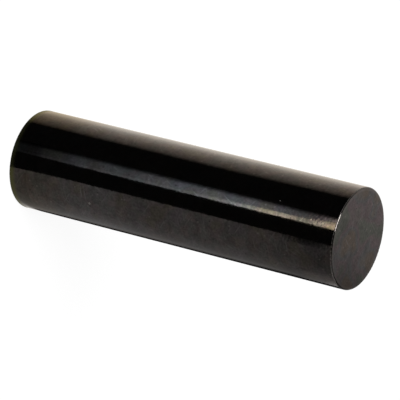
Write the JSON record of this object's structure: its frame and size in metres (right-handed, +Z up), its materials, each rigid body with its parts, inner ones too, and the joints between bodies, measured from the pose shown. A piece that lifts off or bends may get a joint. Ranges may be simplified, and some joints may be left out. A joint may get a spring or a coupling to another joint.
{
  "type": "pin gauge",
  "caption": "Plain cylindrical pin gauge of black-finished ground steel, with flat ends and softly broken edges, that checks the size of a hole by sliding into it.",
  "frame": {"origin": "centre of the foot end face, on the surface that the pin stands on", "axes": "+Z up along the pin's axis; X and Y are free, because the pin is round"},
  "size_m": [0.0138, 0.0138, 0.0508],
  "materials": {
    "black_oxide_steel": "hardened tool steel, ground and lapped, with a thin oiled black oxide skin: glossy on the barrel, satin on the end faces"
  },
  "bodies": {
    "root": {"gauge_pin": "black_oxide_steel"}
  },
  "joints": []
}
